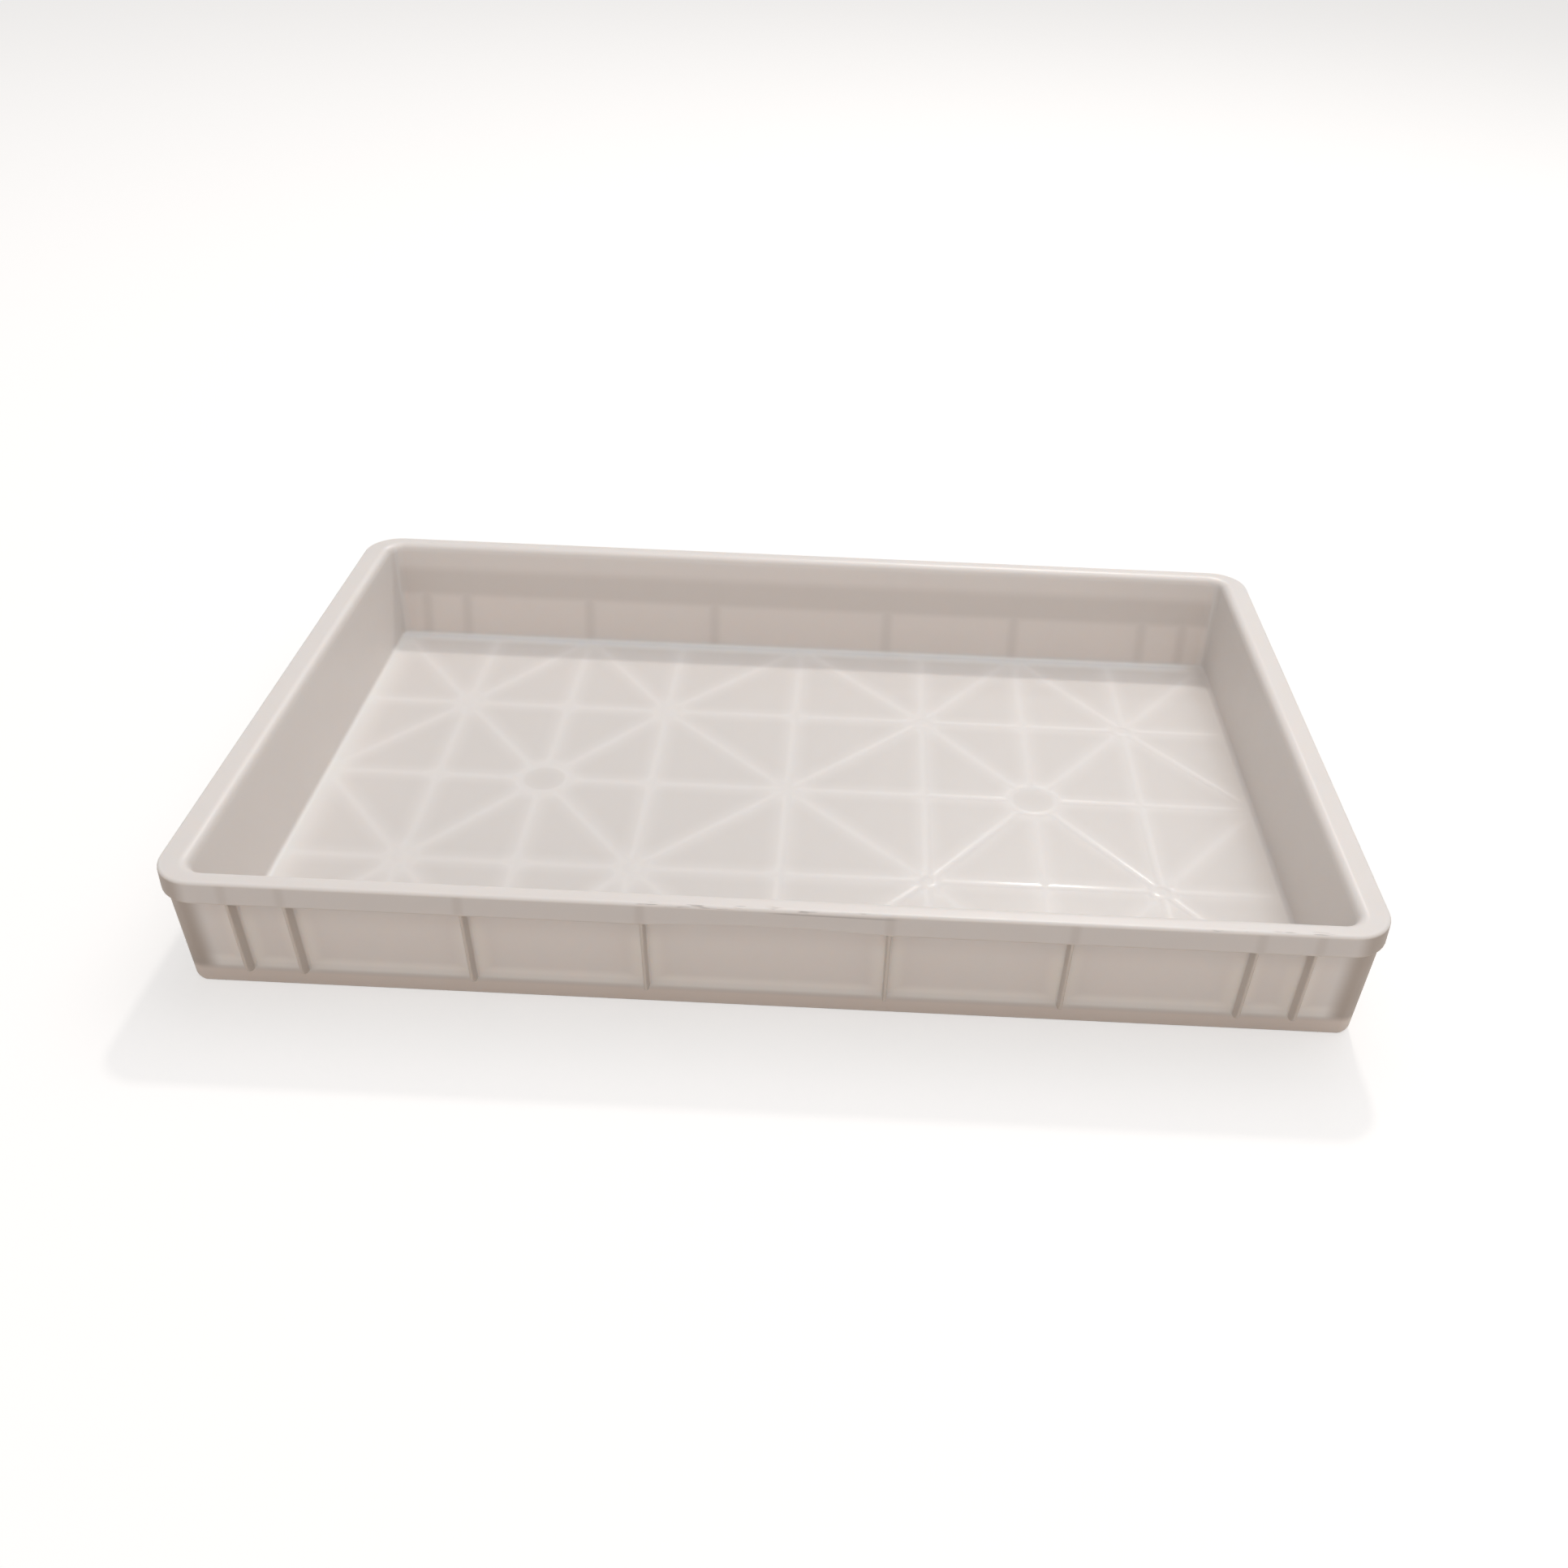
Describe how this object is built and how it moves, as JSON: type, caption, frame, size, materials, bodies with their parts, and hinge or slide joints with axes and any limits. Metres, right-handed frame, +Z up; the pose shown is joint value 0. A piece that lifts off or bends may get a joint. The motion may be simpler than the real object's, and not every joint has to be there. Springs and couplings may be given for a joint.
{
  "type": "developing tray",
  "caption": "Large shallow darkroom tray of milky translucent plastic: ribbed floor, leaning walls and a turned-down rim; one moulding, given as its regions.",
  "frame": {"origin": "middle of the tray in plan, on the surface that its underside stands on", "axes": "+X along the tray's long side to the right, +Y across it towards the rear wall, +Z up"},
  "size_m": [0.6, 0.4, 0.078],
  "materials": {
    "moulded_plastic": "milky, slightly warm natural polypropylene, satin, translucent where it is thin"
  },
  "bodies": {
    "root": {"cross_floor_rib_1": "moulded_plastic", "cross_floor_rib_2": "moulded_plastic", "cross_floor_rib_3": "moulded_plastic", "cross_floor_rib_4": "moulded_plastic", "cross_floor_rib_5": "moulded_plastic", "cross_floor_rib_6": "moulded_plastic", "cross_floor_rib_7": "moulded_plastic", "floor_diagonal_ribs": "moulded_plastic", "floor_panel": "moulded_plastic", "floor_star_bosses": "moulded_plastic", "front_apron": "moulded_plastic", "front_left_apron_corner": "moulded_plastic", "front_left_column": "moulded_plastic", "front_left_rim_corner": "moulded_plastic", "front_right_apron_corner": "moulded_plastic", "front_right_column": "moulded_plastic", "front_right_rim_corner": "moulded_plastic", "front_rim": "moulded_plastic", "front_wall": "moulded_plastic", "front_wall_ribs": "moulded_plastic", "left_apron": "moulded_plastic", "left_floor_hub": "moulded_plastic", "left_rim": "moulded_plastic", "left_wall": "moulded_plastic", "left_wall_ribs": "moulded_plastic", "long_floor_rib_1": "moulded_plastic", "long_floor_rib_2": "moulded_plastic", "long_floor_rib_3": "moulded_plastic", "rear_apron": "moulded_plastic", "rear_left_apron_corner": "moulded_plastic", "rear_left_column": "moulded_plastic", "rear_left_rim_corner": "moulded_plastic", "rear_right_apron_corner": "moulded_plastic", "rear_right_column": "moulded_plastic", "rear_right_rim_corner": "moulded_plastic", "rear_rim": "moulded_plastic", "rear_wall": "moulded_plastic", "rear_wall_ribs": "moulded_plastic", "right_apron": "moulded_plastic", "right_floor_hub": "moulded_plastic", "right_rim": "moulded_plastic", "right_wall": "moulded_plastic", "right_wall_ribs": "moulded_plastic"}
  },
  "joints": []
}
